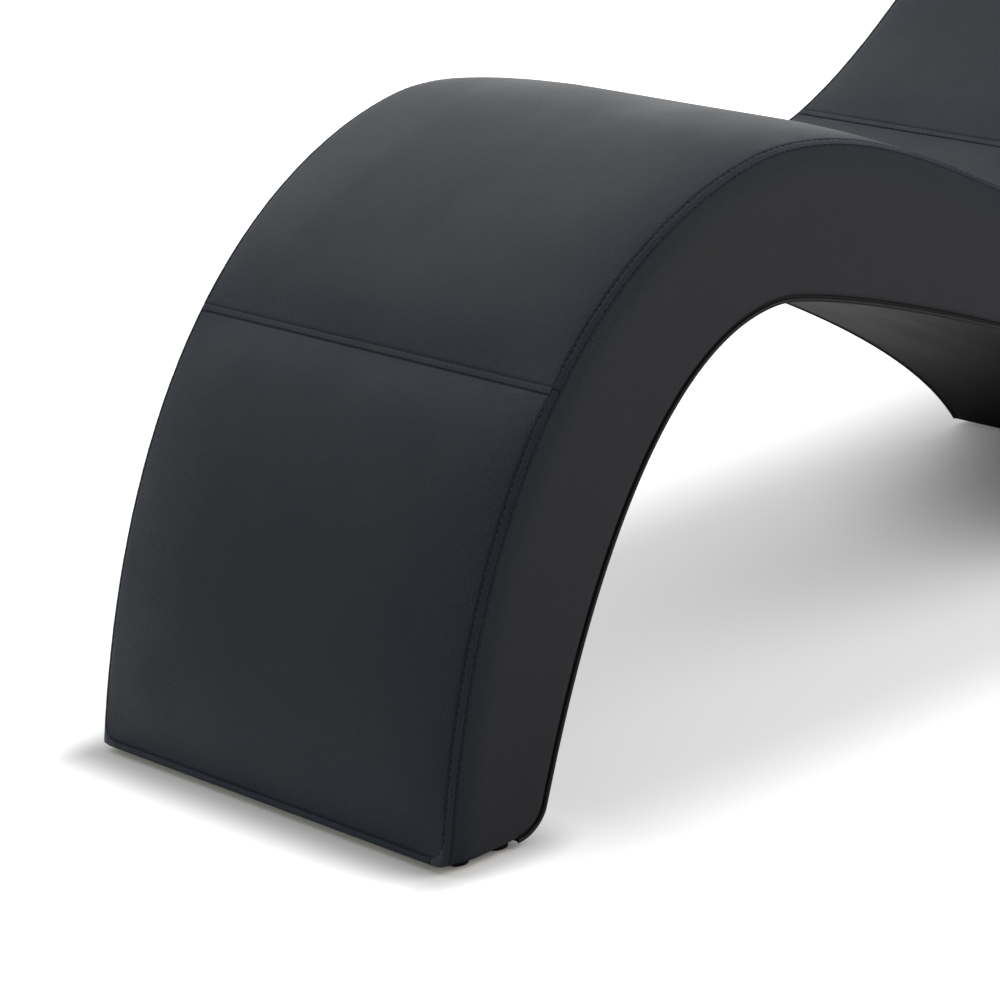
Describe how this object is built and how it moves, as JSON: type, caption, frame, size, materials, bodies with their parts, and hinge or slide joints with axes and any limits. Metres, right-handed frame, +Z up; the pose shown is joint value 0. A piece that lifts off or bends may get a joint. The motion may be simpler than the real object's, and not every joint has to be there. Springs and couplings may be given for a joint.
{
  "type": "spa relaxation lounger",
  "caption": "One-piece wave-shaped relaxation lounger for a spa: padded leg and knee hump over an open arch, low seat and leaning back, covered in dark coated fabric.",
  "frame": {"origin": "middle of the overall footprint at floor level, under the glides", "axes": "+X from the foot end towards the head end, +Y towards the lying user's right-hand side, +Z up"},
  "size_m": [1.748, 0.6222, 0.9263],
  "materials": {
    "plywood": "matte",
    "rail_timber": "matte",
    "bent_plywood": "matte",
    "foam": "matte",
    "cover": "satin",
    "seam_band": "satin",
    "piping": "satin",
    "dust_cloth": "matte",
    "glide": "satin",
    "steel": "satin"
  },
  "bodies": {
    "root": {"rib_left": "plywood", "rib_right": "plywood", "rib_centre": "plywood", "rail_shin": "rail_timber", "rail_knee": "rail_timber", "rail_crest": "rail_timber", "rail_thigh": "rail_timber", "rail_seat": "rail_timber", "rail_lumbar": "rail_timber", "rail_back": "rail_timber", "rail_shoulder": "rail_timber", "rail_arch_front": "rail_timber", "rail_arch_top": "rail_timber", "rail_arch_rear": "rail_timber", "rail_rear": "rail_timber", "foot_board": "plywood", "seat_board": "plywood", "head_block": "rail_timber", "deck_shin": "bent_plywood", "deck_knee": "bent_plywood", "deck_seat": "bent_plywood", "deck_back": "bent_plywood", "arch_lining": "bent_plywood", "rear_lining": "bent_plywood", "foam_shin": "foam", "foam_seat": "foam", "foam_back": "foam", "side_foam_left": "foam", "side_foam_right": "foam", "cover_shin": "cover", "cover_seat": "cover", "cover_back": "cover", "side_cover_left": "cover", "side_cover_right": "cover", "arch_cover": "cover", "rear_cover": "cover", "edge_band_left": "seam_band", "edge_band_right": "seam_band", "shin_band": "seam_band", "seat_band": "seam_band", "toe_hem": "seam_band", "head_band": "seam_band", "arch_piping_left": "piping", "arch_piping_right": "piping", "rear_piping_left": "piping", "rear_piping_right": "piping", "leg_dust_cover": "dust_cloth", "base_dust_cover": "dust_cloth", "toe_glide_left": "glide", "toe_glide_right": "glide", "heel_glide_left": "glide", "heel_glide_right": "glide", "front_glide_left": "glide", "front_glide_right": "glide", "rear_glide_left": "glide", "rear_glide_right": "glide", "glide_screws": "steel", "frame_screws": "steel"}
  },
  "joints": []
}
